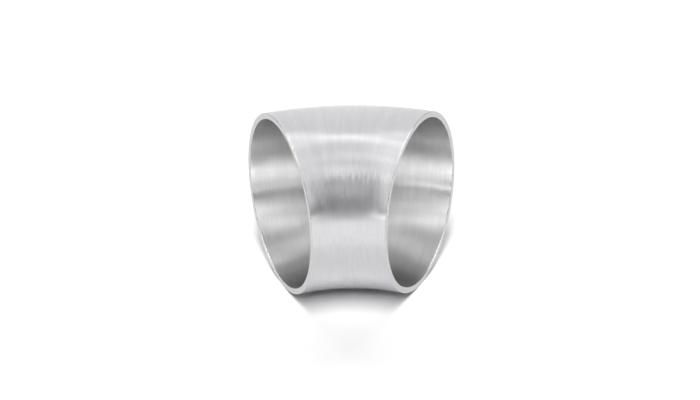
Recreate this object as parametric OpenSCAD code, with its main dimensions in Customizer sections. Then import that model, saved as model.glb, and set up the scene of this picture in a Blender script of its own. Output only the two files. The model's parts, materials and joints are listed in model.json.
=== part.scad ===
// Short-radius 45 degree butt-weld pipe elbow, pressed as two half shells and seam welded.
// All lengths are in millimetres and all angles in degrees.
// The elbow lies on its side: the bend plane is horizontal, +Z is up and the outside of
// the bend faces +Y. The origin is the centre of the footprint, on the plane it lies on.

/* [Pipe] */
// Outside diameter of the pipe that the elbow joins
tube_od = 50.8; // [30:0.1:120]
// Wall thickness of the half shells
wall = 1.65; // [1.2:0.05:3]

/* [Bend] */
// Centreline bend radius as a multiple of the outside diameter
bend_ratio = 1.0; // [0.75:0.05:1.5]
// Angle between the two pipe axes
bend_angle = 45; // [15:1:90]

/* [Seam welds] */
// Width of a seam weld at the outside surface
cap_width = 2.6; // [2:0.1:4]
// Width of a seam weld at the bore
root_width = 1.6; // [1.2:0.1:2.6]

/* [Hidden] */
$fn = 120;

tube_r = tube_od / 2;
bore_r = tube_r - wall;
bend_radius = bend_ratio * tube_od;

// Nearest and furthest reach of the elbow from the bend axis, measured along +Y
footprint_near = (bend_radius - tube_r) * cos(bend_angle / 2);
footprint_far = bend_radius + tube_r;
footprint_middle = (footprint_near + footprint_far) / 2;

// Distance from the pipe axis to a seam weld's corners, at the bore and at the outside
root_x = sqrt(pow(bore_r, 2) - pow(root_width / 2, 2));
cap_x = sqrt(pow(tube_r, 2) - pow(cap_width / 2, 2));
groove_slope = (cap_width - root_width) / 2 / (cap_x - root_x);

// How far a cutting shape runs past the surface that it cuts
overrun = 1;

// Colours
steel = [0.80, 0.80, 0.81];
weld_steel = [0.74, 0.74, 0.76];

// Half of the groove's width at distance x from the pipe axis
function groove_half_width(x) = root_width / 2 + (x - root_x) * groove_slope;

// Sweeps a section, drawn about the pipe axis, round the bend and sets it on its footprint.
// In the section -X is the inside of the bend and +Y becomes +Z.
module bend() {
    translate([0, -footprint_middle, tube_r])
        rotate([0, 0, 90 - bend_angle / 2])
            rotate_extrude(angle = bend_angle)
                translate([bend_radius, 0])
                    children();
}

// Section of the pipe wall
module wall_section() {
    difference() {
        circle(r = tube_r);
        circle(r = bore_r);
    }
}

// V groove between the two half shells, on the outside of the bend
module groove() {
    inner_x = root_x - overrun;
    outer_x = tube_r + overrun;
    polygon([
        [inner_x, -groove_half_width(inner_x)],
        [outer_x, -groove_half_width(outer_x)],
        [outer_x, groove_half_width(outer_x)],
        [inner_x, groove_half_width(inner_x)]
    ]);
}

// Upper half of the wall, with its two edges bevelled for the seam welds
module half_section() {
    difference() {
        wall_section();
        translate([-tube_r - overrun, -tube_r - overrun])
            square([tube_od + 2 * overrun, tube_r + overrun]);
        groove();
        mirror([1, 0])
            groove();
    }
}

// Weld metal that fills the groove, ground flush with the wall outside and in the bore
module weld_section() {
    intersection() {
        wall_section();
        groove();
    }
}

module upper_half_shell() {
    color(steel)
        bend()
            half_section();
}

module lower_half_shell() {
    color(steel)
        bend()
            mirror([0, 1])
                half_section();
}

// Seam along the inside of the bend
module inner_seam_weld() {
    color(weld_steel)
        bend()
            mirror([1, 0])
                weld_section();
}

// Seam along the outside of the bend
module outer_seam_weld() {
    color(weld_steel)
        bend()
            weld_section();
}

upper_half_shell();
lower_half_shell();
inner_seam_weld();
outer_seam_weld();
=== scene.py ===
"""Looks of a brushed stainless 45 degree pipe elbow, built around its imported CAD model.

Lengths are in metres and angles in radians, in the CAD model's frame: the elbow lies on its
side on z = 0, the bend plane is horizontal and the outside of the bend faces +Y. A point of
the wall is given by three numbers: phi, its angle round the bend axis, 0 in the middle of
the bend and positive towards +X; psi, its angle round the pipe axis, 0 on the outside of the
bend and a quarter turn at the top; and rho, its distance from the pipe axis.
"""

import json
import math

import bpy
from mathutils import Matrix, Vector


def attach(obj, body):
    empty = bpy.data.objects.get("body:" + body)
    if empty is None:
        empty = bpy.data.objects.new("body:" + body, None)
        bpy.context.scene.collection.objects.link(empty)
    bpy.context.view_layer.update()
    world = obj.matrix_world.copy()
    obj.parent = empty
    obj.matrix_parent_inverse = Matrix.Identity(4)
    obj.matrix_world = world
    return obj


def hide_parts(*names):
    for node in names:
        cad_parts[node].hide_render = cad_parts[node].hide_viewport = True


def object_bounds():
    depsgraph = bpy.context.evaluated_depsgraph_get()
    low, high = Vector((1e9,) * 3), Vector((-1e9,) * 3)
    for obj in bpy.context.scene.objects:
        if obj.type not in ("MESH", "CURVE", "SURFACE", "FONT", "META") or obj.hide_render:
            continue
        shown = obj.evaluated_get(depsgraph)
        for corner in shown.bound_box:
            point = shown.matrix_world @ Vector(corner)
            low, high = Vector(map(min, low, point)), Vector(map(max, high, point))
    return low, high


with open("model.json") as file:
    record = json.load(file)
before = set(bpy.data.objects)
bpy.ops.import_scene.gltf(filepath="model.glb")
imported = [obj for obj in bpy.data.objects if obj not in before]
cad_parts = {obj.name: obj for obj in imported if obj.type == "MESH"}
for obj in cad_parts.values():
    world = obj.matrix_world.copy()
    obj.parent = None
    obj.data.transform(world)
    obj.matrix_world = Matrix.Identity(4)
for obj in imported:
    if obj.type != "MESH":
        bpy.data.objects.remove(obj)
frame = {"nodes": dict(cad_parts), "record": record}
cad_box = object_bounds()

MM = 0.001

# ---------------------------------------------------------------- the elbow's dimensions


def read_dimensions():
    """The driving dimensions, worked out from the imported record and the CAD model's box."""
    mounts = {m["name"]: m for m in frame["record"]["mounts"]}
    low, high = cad_box
    centre = Vector(mounts["right_pipe_axis"]["pos_m"])
    outward = Vector(mounts["right_pipe_axis"]["axis"])
    middle_of_wall = Vector(mounts["right_end"]["pos_m"])
    half_angle = math.atan2(-outward.y, outward.x)
    bend_radius = centre.x / math.sin(half_angle)
    tube_radius = (high[2] - low[2]) / 2
    wall = 2 * (high[2] - middle_of_wall.z)
    return {
        "half_angle": half_angle,
        "bend_radius": bend_radius,
        "bend_axis_y": centre.y - bend_radius * math.cos(half_angle),
        "tube_radius": tube_radius,
        "bore_radius": tube_radius - wall,
        "axis_z": centre.z,
    }


def seam_half_widths(dims):
    """Half of a seam weld's width at the outside and at the bore, from its CAD solid."""
    weld = frame["nodes"]["outer_seam_weld"]
    heights = {"tube_radius": 0.0, "bore_radius": 0.0}
    tolerance = 0.1 * MM
    for vertex in weld.data.vertices:
        across = math.hypot(vertex.co.x, vertex.co.y - dims["bend_axis_y"]) - dims["bend_radius"]
        up = vertex.co.z - dims["axis_z"]
        rho = math.hypot(across, up)
        for surface in heights:
            if abs(rho - dims[surface]) < tolerance:
                heights[surface] = max(heights[surface], abs(up))
    return heights["tube_radius"], heights["bore_radius"]


DIMS = read_dimensions()
HALF_ANGLE = DIMS["half_angle"]
BEND_RADIUS = DIMS["bend_radius"]
TUBE_RADIUS = DIMS["tube_radius"]
BORE_RADIUS = DIMS["bore_radius"]
SEAM_OUTSIDE, SEAM_BORE = seam_half_widths(DIMS)

# Radius to which the brushing has rounded the edges of the end faces
EDGE_RADIUS = 0.16 * MM
# The pressed wall wanders from a true torus by up to this much, always inwards
WAVE_DEPTH = 0.05 * MM


# ---------------------------------------------------------------- the elbow's surface


def waviness(psi, phi):
    """How far the pressed wall lies inside the true torus at one place.

    It is four waves round the pipe, with shares that add up to 1, which drift along it."""
    along = phi / HALF_ANGLE
    wave = (
        0.45 * math.sin(2 * psi + 0.7) * math.cos(1.3 * along + 0.4)
        + 0.30 * math.sin(3 * psi - 1.1 + 0.9 * along)
        + 0.15 * math.sin(5 * psi + 2.3 - 1.7 * along)
        + 0.10 * math.sin(9 * psi + 0.2 + 2.9 * along)
    )
    return WAVE_DEPTH * (1 - wave) / 2


def wall_point(psi, phi, rho):
    """A point of the wall in the CAD frame."""
    rho = rho - waviness(psi, phi)
    reach = BEND_RADIUS + rho * math.cos(psi)
    return Vector((
        reach * math.sin(phi),
        DIMS["bend_axis_y"] + reach * math.cos(phi),
        DIMS["axis_z"] + rho * math.sin(psi),
    ))


def wall_normal(psi, phi, rho):
    """The wall's normal at a point, away from the pipe axis.

    It is found by differences, so that it follows the waviness."""
    step = 1e-3
    around = wall_point(psi + step, phi, rho) - wall_point(psi - step, phi, rho)
    along = wall_point(psi, phi + step, rho) - wall_point(psi, phi - step, rho)
    return around.cross(along).normalized()


def end_normal(side):
    """Outward normal of the end face on the +X side (side 1) or the -X side (side -1)."""
    return Vector((side * math.cos(HALF_ANGLE), -math.sin(HALF_ANGLE), 0))


# ---------------------------------------------------------------- meshes

# Steps along the pipe, round each rounded edge and across the end face
STATIONS_ALONG = 72
FILLET_STEPS = 4
RIM_STEPS = 3
# Steps round the pipe axis in a half shell and in a seam weld
SHELL_STEPS = 132
WELD_STEPS = 4
# The kinds of surface, each the number of its material slot
OUTSIDE, CUT_END, BORE = 0, 1, 2


def rim_profile(side):
    """The rounded edge at the outside, the end face and the rounded edge at the bore.

    They come in that order on the +X side, and the other way round on the -X side. Each entry
    is (distance in from the end plane, rho, tilt), where tilt runs from 0, facing out from the
    pipe axis, through a quarter turn, facing out of the end, to a half turn, facing the pipe
    axis."""
    quarter = math.pi / 2
    profile = []
    for i in range(1, FILLET_STEPS + 1):
        tilt = quarter * i / FILLET_STEPS
        profile.append((
            EDGE_RADIUS * (1 - math.sin(tilt)),
            TUBE_RADIUS - EDGE_RADIUS * (1 - math.cos(tilt)),
            tilt,
        ))
    face_width = TUBE_RADIUS - BORE_RADIUS - 2 * EDGE_RADIUS
    for i in range(1, RIM_STEPS):
        profile.append((0.0, TUBE_RADIUS - EDGE_RADIUS - face_width * i / RIM_STEPS, quarter))
    for i in range(FILLET_STEPS):
        tilt = quarter * (1 + i / FILLET_STEPS)
        profile.append((
            EDGE_RADIUS * (1 - math.sin(tilt)),
            BORE_RADIUS + EDGE_RADIUS * (1 + math.cos(tilt)),
            tilt,
        ))
    return profile if side > 0 else profile[::-1]


def wall_loop(edge_angle):
    """Points, normals, UVs and kinds of a closed loop along the wall at one place round the pipe.

    edge_angle(rho) gives psi. The loop runs along the outside from -X to +X, over the rim,
    back along the bore and over the other rim."""
    points, normals, uvs, kinds = [], [], [], []

    def surface_row(rho, direction, kind):
        psi = edge_angle(rho)
        sign = 1 if rho == TUBE_RADIUS else -1
        reach = BEND_RADIUS + rho * math.cos(psi)
        limit = HALF_ANGLE - math.asin(EDGE_RADIUS / reach)
        for i in range(STATIONS_ALONG + 1):
            phi = direction * limit * (2 * i / STATIONS_ALONG - 1)
            points.append(wall_point(psi, phi, rho))
            normals.append(sign * wall_normal(psi, phi, rho))
            uvs.append((phi * BEND_RADIUS, psi * TUBE_RADIUS))
            kinds.append(kind)

    def rim_row(side):
        phi = side * HALF_ANGLE
        out = end_normal(side)
        for depth, rho, tilt in rim_profile(side):
            psi = edge_angle(rho)
            radial = wall_normal(psi, phi, rho)
            points.append(wall_point(psi, phi, rho) - depth * out)
            normals.append((math.cos(tilt) * radial + math.sin(tilt) * out).normalized())
            uvs.append((side * (HALF_ANGLE * BEND_RADIUS + TUBE_RADIUS - rho), psi * TUBE_RADIUS))
            kinds.append(CUT_END)

    surface_row(TUBE_RADIUS, 1, OUTSIDE)
    rim_row(1)
    surface_row(BORE_RADIUS, -1, BORE)
    rim_row(-1)
    return points, normals, uvs, kinds


def edge_faces(base, count, flip):
    """Flat faces that close one edge of a piece, rim to rim, between its outside and its bore.

    The edge's loop has count points, and its first is the mesh's vertex base."""
    rim = len(rim_profile(1))
    half_rim = rim // 2
    bore_last = 2 * STATIONS_ALONG + rim + 1
    pairs = []
    for i in range(-half_rim, STATIONS_ALONG + half_rim + 1):
        pairs.append((base + i % count, base + (bore_last - i) % count))
    faces = []
    for (a, b), (c, d) in zip(pairs, pairs[1:]):
        corners = dict.fromkeys((a, b, d, c) if flip else (c, d, b, a))
        if len(corners) > 2:
            faces.append(tuple(corners))
    return faces


def wall_mesh(name, loops):
    """A closed mesh through the loops, smooth on the wall and flat on its first and last edge."""
    vertices, normals, uvs = [], [], []
    for points, loop_normals, loop_uvs, _ in loops:
        vertices += points
        normals += loop_normals
        uvs += loop_uvs
    kinds = loops[0][3]
    count = len(kinds)

    faces, slots = [], []
    for step in range(len(loops) - 1):
        here, there = step * count, (step + 1) * count
        for i in range(count):
            j = (i + 1) % count
            faces.append((here + i, there + i, there + j, here + j))
            slots.append(kinds[i] if kinds[i] == kinds[j] else CUT_END)
    wall_faces = len(faces)
    faces += edge_faces(0, count, False)
    faces += edge_faces((len(loops) - 1) * count, count, True)
    slots += [OUTSIDE] * (len(faces) - wall_faces)

    mesh = bpy.data.meshes.new(name)
    mesh.from_pydata(vertices, [], faces)
    layer = mesh.uv_layers.new(name="UVMap")
    split_normals = []
    for polygon in mesh.polygons:
        polygon.use_smooth = True
        polygon.material_index = slots[polygon.index]
        on_wall = polygon.index < wall_faces
        for loop_index in polygon.loop_indices:
            vertex = mesh.loops[loop_index].vertex_index
            layer.data[loop_index].uv = uvs[vertex]
            split_normals.append(normals[vertex] if on_wall else polygon.normal.copy())
    mesh.normals_split_custom_set(split_normals)
    mesh.validate()
    return mesh


def build_piece(name, node, start_angle, end_angle, steps):
    """A closed piece of the wall between two edges, each given as psi at a distance rho."""
    loops = []
    for step in range(steps + 1):
        share = step / steps
        loops.append(wall_loop(
            lambda rho: (1 - share) * start_angle(rho) + share * end_angle(rho)
        ))
    piece = bpy.data.objects.new(name, wall_mesh(name, loops))
    bpy.context.scene.collection.objects.link(piece)
    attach(piece, "root")
    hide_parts(node)
    return piece


def seam_angle(rho):
    """Half of the angle that a seam weld spans at distance rho from the pipe axis."""
    share = (rho - BORE_RADIUS) / (TUBE_RADIUS - BORE_RADIUS)
    return math.asin((SEAM_BORE + share * (SEAM_OUTSIDE - SEAM_BORE)) / rho)


def build_elbow():
    """The two half shells and the two seam welds."""
    half, full = math.pi, 2 * math.pi
    upper = build_piece(
        "upper_half_shell_brushed", "upper_half_shell",
        seam_angle, lambda rho: half - seam_angle(rho), SHELL_STEPS,
    )
    lower = build_piece(
        "lower_half_shell_brushed", "lower_half_shell",
        lambda rho: half + seam_angle(rho), lambda rho: full - seam_angle(rho), SHELL_STEPS,
    )
    inner = build_piece(
        "inner_seam_weld_ground", "inner_seam_weld",
        lambda rho: half - seam_angle(rho), lambda rho: half + seam_angle(rho), WELD_STEPS,
    )
    outer = build_piece(
        "outer_seam_weld_ground", "outer_seam_weld",
        lambda rho: full - seam_angle(rho), lambda rho: full + seam_angle(rho), WELD_STEPS,
    )
    return [upper, lower], [inner, outer]


# ---------------------------------------------------------------- materials


def add_node(tree, kind, **settings):
    """A new node of a kind, with its properties set."""
    node = tree.nodes.new(kind)
    for name, value in settings.items():
        setattr(node, name, value)
    return node


def math_node(tree, operation, a, b=None):
    """The result of one operation on a and b, each a number or another node's output."""
    node = add_node(tree, "ShaderNodeMath", operation=operation)
    for socket, value in zip(node.inputs, (a, b)):
        if value is None:
            continue
        if isinstance(value, (int, float)):
            socket.default_value = value
        else:
            tree.links.new(value, socket)
    return node.outputs[0]


def ramp_node(tree, value, low, high, bottom, top):
    """value carried from the span low..high to bottom..top, and held beyond the span."""
    node = add_node(tree, "ShaderNodeMapRange", interpolation_type="SMOOTHSTEP")
    for socket, number in zip(("From Min", "From Max", "To Min", "To Max"), (low, high, bottom, top)):
        node.inputs[socket].default_value = number
    tree.links.new(value, node.inputs["Value"])
    return node.outputs["Result"]


def total(tree, *values):
    """The values added up."""
    result = values[0]
    for value in values[1:]:
        result = math_node(tree, "ADD", result, value)
    return result


def weighted_total(tree, *terms):
    """The sum over the terms, each a value and its weight."""
    return total(tree, *[math_node(tree, "MULTIPLY", value, weight) for value, weight in terms])


def lay_coordinates(tree):
    """u along the pipe, and the cosine and sine of psi, from the mesh's UVs in metres."""
    uv = add_node(tree, "ShaderNodeUVMap", uv_map="UVMap")
    split = add_node(tree, "ShaderNodeSeparateXYZ")
    tree.links.new(uv.outputs[0], split.inputs[0])
    psi = math_node(tree, "MULTIPLY", split.outputs[1], 1 / TUBE_RADIUS)
    return split.outputs[0], math_node(tree, "COSINE", psi), math_node(tree, "SINE", psi)


def streak_noise(tree, lay, width, length, detail, shift):
    """Noise drawn out round the pipe, width across the lay and length along it.

    It runs from 0 to 1 about a mean of 0.5; shift picks another part of the pattern."""
    u, cos_psi, sin_psi = lay
    combine = add_node(tree, "ShaderNodeCombineXYZ")
    across = math_node(tree, "MULTIPLY", u, 1 / width)
    tree.links.new(math_node(tree, "ADD", across, shift), combine.inputs[0])
    tree.links.new(math_node(tree, "MULTIPLY", cos_psi, TUBE_RADIUS / length), combine.inputs[1])
    tree.links.new(math_node(tree, "MULTIPLY", sin_psi, TUBE_RADIUS / length), combine.inputs[2])
    noise = add_node(tree, "ShaderNodeTexNoise", noise_dimensions="3D")
    noise.inputs["Scale"].default_value = 1.0
    noise.inputs["Detail"].default_value = detail
    noise.inputs["Roughness"].default_value = 0.6
    tree.links.new(combine.outputs[0], noise.inputs["Vector"])
    return noise.outputs["Fac"]


def tilted_normal(tree, tangent, amount):
    """The surface normal leaned round the pipe by amount, a tangent of the angle."""
    geometry = add_node(tree, "ShaderNodeNewGeometry")
    across = add_node(tree, "ShaderNodeVectorMath", operation="CROSS_PRODUCT")
    tree.links.new(geometry.outputs["Normal"], across.inputs[0])
    tree.links.new(tangent, across.inputs[1])
    lean = add_node(tree, "ShaderNodeVectorMath", operation="SCALE")
    tree.links.new(across.outputs[0], lean.inputs[0])
    tree.links.new(amount, lean.inputs["Scale"])
    leaned = add_node(tree, "ShaderNodeVectorMath", operation="ADD")
    tree.links.new(geometry.outputs["Normal"], leaned.inputs[0])
    tree.links.new(lean.outputs[0], leaned.inputs[1])
    unit = add_node(tree, "ShaderNodeVectorMath", operation="NORMALIZE")
    tree.links.new(leaned.outputs[0], unit.inputs[0])
    return unit.outputs[0]


def add_bump(tree, height, distance, normal=None):
    """The normal bumped by height, where a height of 1 stands distance metres proud."""
    bump = add_node(tree, "ShaderNodeBump")
    bump.inputs["Strength"].default_value = 1.0
    bump.inputs["Distance"].default_value = distance
    tree.links.new(height, bump.inputs["Height"])
    if normal is not None:
        tree.links.new(normal, bump.inputs["Normal"])
    return bump.outputs[0]


def grey_ramp(tree, value, stops, painted_lamp_tint=1.0):
    """Steel colours along value, each a grey whose blue is the last argument times the rest; a factor
    above 1 paints a bluish tint of the lamps' light into the steel.
    """
    node = add_node(tree, "ShaderNodeValToRGB")
    elements = node.color_ramp.elements
    while len(elements) < len(stops):
        elements.new(0.5)
    for element, (place, grey) in zip(elements, stops):
        element.position = place
        # A blue above the grey is painted light: a bluish tint that stands for the lamps' light in
        # the steel's reflection
        element.color = (grey, grey, grey * painted_lamp_tint, 1)
    tree.links.new(value, node.inputs[0])
    return node.outputs[0]


# How far the brushing leans the steel round the pipe, streak by streak
STREAK_LEAN = 0.10
# How far from the ends the edge wear begins, and where it is complete
WEAR_BEGINS = 1.2 * MM
WEAR_COMPLETE = 0.1 * MM
# Greatest height of the brushed steel's hairlines and of the end faces' tool lines
HAIRLINE_HEIGHT = 0.003 * MM
TOOL_LINE_HEIGHT = 0.002 * MM


def brushing(tree, lay, shift):
    """The patterns of the brushing, each 0 to 1: fine to broad streaks and a few scratches."""
    scratches = streak_noise(tree, lay, 0.16 * MM, 2.2 * MM, 1.0, shift + 140)
    return {
        "hair": streak_noise(tree, lay, 0.10 * MM, 5 * MM, 3.0, shift),
        "streak": streak_noise(tree, lay, 0.32 * MM, 7 * MM, 2.0, shift + 31),
        "lean": streak_noise(tree, lay, 0.26 * MM, 6 * MM, 2.0, shift + 57),
        "band": streak_noise(tree, lay, 2.4 * MM, 26 * MM, 2.0, shift + 83),
        "cloud": streak_noise(tree, lay, 7 * MM, 11 * MM, 3.0, shift + 11),
        "scratch": ramp_node(tree, scratches, 0.79, 0.86, 0.0, 1.0),
    }


def edge_wear(tree, lay):
    """0 on most of the wall, up to 1 at the rounded edges of the ends."""
    from_middle = math_node(tree, "ABSOLUTE", lay[0])
    end = HALF_ANGLE * BEND_RADIUS
    return ramp_node(tree, from_middle, end - WEAR_BEGINS, end - WEAR_COMPLETE, 0.0, 1.0)


def brushed_normal(tree, lay, tangent, marks, lean_beside_seam):
    """The normal of brushed steel, leaned streak by streak and bumped by the hairlines.

    The streaks lean a little everywhere, and by lean_beside_seam to both sides of the inner
    seam, where the bend is tightest and the belt can't lie flat."""
    # The cosine of psi is -1 at the inner seam
    _, cos_psi, _ = lay
    tight = ramp_node(tree, cos_psi, -0.80, -0.55, lean_beside_seam, STREAK_LEAN)
    near_seam = ramp_node(tree, cos_psi, -0.97, -0.92, STREAK_LEAN - lean_beside_seam, 0.0)
    # Each noise averages 0.5, so the streaks lean as much one way as the other
    fine_lean = math_node(tree, "MULTIPLY", marks["hair"], 0.5)
    swing = total(tree, marks["lean"], fine_lean, -0.75)
    leaning = math_node(tree, "MULTIPLY", swing, total(tree, tight, near_seam))
    groove = math_node(tree, "MULTIPLY", marks["scratch"], -0.35)
    height = total(tree, marks["hair"], marks["streak"], groove)
    return add_bump(tree, height, HAIRLINE_HEIGHT, tilted_normal(tree, tangent, leaning))


def brushed_steel(name, grey, roughness, lean_beside_seam, painted_lamp_tint, shift):
    """Steel brushed round the pipe, about a grey whose blue is the tint argument times the rest; a
    tint above 1 is a painted bluish reflection of the lamps' light.

    Its colour and roughness vary with the brushing, and shift picks the part of the pattern."""
    material = bpy.data.materials.new(name)
    material.use_nodes = True
    tree = material.node_tree
    shader = tree.nodes["Principled BSDF"]
    shader.inputs["Metallic"].default_value = 1.0
    shader.inputs["Anisotropic"].default_value = 0.9
    along_pipe = add_node(tree, "ShaderNodeTangent", direction_type="UV_MAP", uv_map="UVMap")
    tangent = along_pipe.outputs[0]
    tree.links.new(tangent, shader.inputs["Tangent"])

    lay = lay_coordinates(tree)
    marks = brushing(tree, lay, shift)
    wear = edge_wear(tree, lay)
    tone = weighted_total(
        tree,
        (marks["hair"], 0.20),
        (marks["streak"], 0.35),
        (marks["band"], 0.25),
        (marks["cloud"], 0.20),
        (marks["scratch"], 0.30),
        (wear, 0.08),
    )
    colour = grey_ramp(tree, tone, [
        (0.25, grey - 0.10), (0.42, grey - 0.03), (0.58, grey + 0.03), (0.80, grey + 0.12),
    ], painted_lamp_tint)
    tree.links.new(colour, shader.inputs["Base Color"])

    rough = total(
        tree,
        ramp_node(tree, marks["streak"], 0.3, 0.7, -0.012, 0.012),
        ramp_node(tree, marks["cloud"], 0.3, 0.7, -0.015, 0.015),
        ramp_node(tree, wear, 0.0, 1.0, roughness, roughness - 0.02),
    )
    tree.links.new(rough, shader.inputs["Roughness"])
    normal = brushed_normal(tree, lay, tangent, marks, lean_beside_seam)
    tree.links.new(normal, shader.inputs["Normal"])
    return material


def cut_steel(name):
    """The end faces: faced square, with faint tool lines round the wall and worn edges."""
    material = bpy.data.materials.new(name)
    material.use_nodes = True
    tree = material.node_tree
    shader = tree.nodes["Principled BSDF"]
    shader.inputs["Metallic"].default_value = 1.0
    lay = lay_coordinates(tree)
    line = streak_noise(tree, lay, 0.11 * MM, 9 * MM, 2.0, 5)
    mottle = streak_noise(tree, lay, 0.7 * MM, 1.1 * MM, 3.0, 17)
    half_wall = (TUBE_RADIUS - BORE_RADIUS) / 2
    from_outside = math_node(
        tree, "SUBTRACT", math_node(tree, "ABSOLUTE", lay[0]), HALF_ANGLE * BEND_RADIUS
    )
    from_middle = math_node(
        tree, "ABSOLUTE", math_node(tree, "SUBTRACT", from_outside, half_wall)
    )
    wear = ramp_node(tree, from_middle, half_wall - 2 * EDGE_RADIUS, half_wall, 0.0, 1.0)
    tone = weighted_total(tree, (line, 0.5), (mottle, 0.5), (wear, 0.15))
    colour = grey_ramp(tree, tone, [(0.3, 0.43), (0.5, 0.51), (0.65, 0.56), (0.85, 0.64)])
    tree.links.new(colour, shader.inputs["Base Color"])
    rough = total(
        tree,
        ramp_node(tree, mottle, 0.3, 0.7, 0.30, 0.42),
        ramp_node(tree, wear, 0.0, 1.0, 0.0, -0.08),
    )
    tree.links.new(rough, shader.inputs["Roughness"])
    tree.links.new(add_bump(tree, line, TOOL_LINE_HEIGHT), shader.inputs["Normal"])
    return material


def floor_material():
    """Plain matt white."""
    material = bpy.data.materials.new("floor_white")
    material.use_nodes = True
    shader = material.node_tree.nodes["Principled BSDF"]
    shader.inputs["Base Color"].default_value = (0.9, 0.9, 0.9, 1)
    shader.inputs["Roughness"].default_value = 0.8
    shader.inputs["Specular IOR Level"].default_value = 0.0
    return material


# ---------------------------------------------------------------- stage

# The camera's place: its azimuth is 0 at -Y and positive towards +X, and it looks at AIM
CAMERA_ELEVATION = math.radians(26.80)
CAMERA_AZIMUTH = math.radians(1.49)
CAMERA_ROLL = math.radians(-1.29)
CAMERA_DISTANCE = 30.87 * TUBE_RADIUS
CAMERA_LENS = 147.47
CAMERA_SENSOR = 36
AIM = Vector((
    0.0036 * TUBE_RADIUS,
    DIMS["bend_axis_y"] + BEND_RADIUS - 0.3 * TUBE_RADIUS,
    1.1132 * TUBE_RADIUS,
))

FLOOR_RADIUS = 1.5
FLOOR_CORNERS = 96


def bearing(azimuth, elevation):
    """The unit vector towards an azimuth, 0 at -Y and positive towards +X, and an elevation."""
    level = math.cos(elevation)
    return Vector((math.sin(azimuth) * level, -math.cos(azimuth) * level, math.sin(elevation)))


def build_camera():
    """A long lens above the table, in front of the inside of the bend."""
    back = bearing(CAMERA_AZIMUTH, CAMERA_ELEVATION)
    right = Vector((math.cos(CAMERA_AZIMUTH), math.sin(CAMERA_AZIMUTH), 0))
    up = back.cross(right)
    place = Matrix.Translation(AIM + CAMERA_DISTANCE * back)
    turn = Matrix((right, up, back)).transposed().to_4x4()
    roll = Matrix.Rotation(CAMERA_ROLL, 4, "Z")
    data = bpy.data.cameras.new("camera")
    data.lens = CAMERA_LENS
    data.sensor_width = CAMERA_SENSOR
    data.clip_start = 0.01
    camera = bpy.data.objects.new("camera", data)
    bpy.context.scene.collection.objects.link(camera)
    camera.matrix_world = place @ turn @ roll
    bpy.context.scene.camera = camera


def build_floor():
    """The round table top, at z = 0."""
    ring = []
    for i in range(FLOOR_CORNERS):
        angle = 2 * math.pi * i / FLOOR_CORNERS
        ring.append((FLOOR_RADIUS * math.cos(angle), FLOOR_RADIUS * math.sin(angle), 0))
    mesh = bpy.data.meshes.new("floor")
    mesh.from_pydata(ring, [], [tuple(range(FLOOR_CORNERS))])
    mesh.materials.append(floor_material())
    floor = bpy.data.objects.new("floor", mesh)
    bpy.context.scene.collection.objects.link(floor)
    return floor


# How far the softboxes and the table's lamps stand from the middle of the elbow
SOFTBOX_DISTANCE = 1.2
TABLE_LAMP_DISTANCE = 4.0
# Each softbox: name, azimuth, elevation, width and height, all in degrees as seen from the
# elbow, and the radiance of its face. These stand on both sides: the azimuth is that of the
# right one, and the two radiances are those of the left one and the right one.
SIDE_SOFTBOXES = [
    ("side_front", 64, 19, 14, 16, 4.9, 5.2),
    ("side", 81, 28, 16, 26, 9.0, 9.0),
    ("side_rear", 100, 31, 22, 20, 8.6, 9.0),
    ("front_side", 44, 14, 20, 12, 1.0, 0.3),
    ("card", 50, 2.5, 34, 5, 4.0, 2.9),
    ("upper_side", 75, 66.5, 34, 17, 2.6, 2.0),
    ("upper_rear", 120, 68, 50, 13, 3.5, 2.9),
    ("upper_back", 150, 66.5, 34, 17, 0.65, 0.4),
    ("upper_front", 40, 66.5, 34, 17, 0.55, 0.6),
]
# These stand in the middle: in front, above or behind
MIDDLE_SOFTBOXES = [
    ("card_middle", 0, 2.5, 62, 5, 0.2),
    ("upper_front", 0, 58, 20, 16, 2.9),
    ("front_middle", 0, 35, 20, 14, 0.75),
    ("front_low", 0, 29, 20, 58, 0.65),
    ("overhead", 0, 88, 30, 30, 0.8),
    ("back_high", 180, 66.5, 40, 17, 1.4),
    ("back", 180, 29, 70, 58, 1.0),
]
# The table has lamps of its own, so that it stays evenly white round the elbow
TABLE_LAMPS = [
    ("table_front", 0, 57, 22, 42, 23.0),
    ("table_overhead", 0, 88, 80, 80, 1.05),
    ("table_back", 180, 42, 70, 30, 3.6),
]
# The room beyond the softboxes is dark
WORLD_RADIANCE = 0.02


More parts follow.
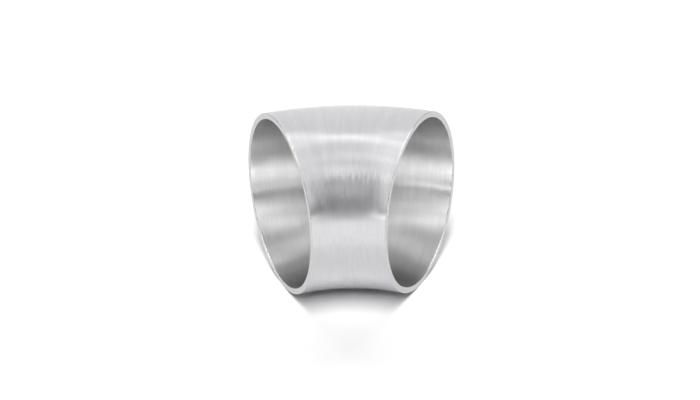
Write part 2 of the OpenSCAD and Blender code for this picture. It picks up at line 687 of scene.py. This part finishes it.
def build_softbox(name, azimuth, elevation, width, height, radiance, distance, lit):
    """A rectangular lamp that faces the middle of the elbow and lights the collection lit."""
    above = math.radians(elevation)
    towards = bearing(math.radians(azimuth), above)
    lamp = bpy.data.lights.new(name, "AREA")
    lamp.shape = "RECTANGLE"
    lamp.size = 2 * distance * math.tan(math.radians(width) / 2) * math.cos(above)
    lamp.size_y = 2 * distance * math.tan(math.radians(height) / 2)
    lamp.energy = math.pi * lamp.size * lamp.size_y * radiance
    softbox = bpy.data.objects.new(name, lamp)
    bpy.context.scene.collection.objects.link(softbox)
    softbox.location = Vector((0, 0, DIMS["axis_z"])) + distance * towards
    softbox.rotation_euler = towards.to_track_quat("Z", "Y").to_euler()
    softbox.visible_camera = False
    softbox.light_linking.receiver_collection = lit


def group_of(name, members):
    """A collection that lamps can be limited to."""
    group = bpy.data.collections.new(name)
    for member in members:
        group.objects.link(member)
    return group


def build_lights(pieces, floor):
    """The softboxes, which light only the pieces, the lamps for the floor and the dark room."""
    elbow_group = group_of("lit_elbow", pieces)
    table_group = group_of("lit_table", [floor])
    for name, azimuth, *shape, left, right in SIDE_SOFTBOXES:
        build_softbox(f"{name}_left", -azimuth, *shape, left, SOFTBOX_DISTANCE, elbow_group)
        build_softbox(f"{name}_right", azimuth, *shape, right, SOFTBOX_DISTANCE, elbow_group)
    for softbox in MIDDLE_SOFTBOXES:
        build_softbox(*softbox, SOFTBOX_DISTANCE, elbow_group)
    for lamp in TABLE_LAMPS:
        build_softbox(*lamp, TABLE_LAMP_DISTANCE, table_group)
    world = bpy.data.worlds.new("studio")
    world.use_nodes = True
    background = world.node_tree.nodes["Background"]
    background.inputs["Color"].default_value = (1.0, 1.0, 1.0, 1)
    background.inputs["Strength"].default_value = WORLD_RADIANCE
    bpy.context.scene.world = world


# ---------------------------------------------------------------- the scene

build_camera()
shells, welds = build_elbow()
# The outside and the welds get a bluish tint painted into their colour for the lamps' light that they
# reflect; the bore has none
shell_steel = brushed_steel(
    "steel_brushed", grey=0.65, roughness=0.32, lean_beside_seam=0.42, painted_lamp_tint=1.03, shift=0
)
weld_steel = brushed_steel(
    "steel_ground_weld", grey=0.66, roughness=0.33, lean_beside_seam=0.42, painted_lamp_tint=1.03, shift=400
)
rim_steel = cut_steel("steel_cut_end")
# The bore is the same steel painted a lighter grey than the outside, painted light that brightens the
# inside of the pipe
bore_steel = brushed_steel(
    "steel_bore", grey=0.69, roughness=0.31, lean_beside_seam=STREAK_LEAN, painted_lamp_tint=1.0, shift=700
)
for pieces, outside_steel in ((shells, shell_steel), (welds, weld_steel)):
    for piece in pieces:
        # In the order of the numbers OUTSIDE, CUT_END and BORE
        for material in (outside_steel, rim_steel, bore_steel):
            piece.data.materials.append(material)
build_lights(shells + welds, build_floor())
bpy.context.scene.view_settings.view_transform = "Standard"
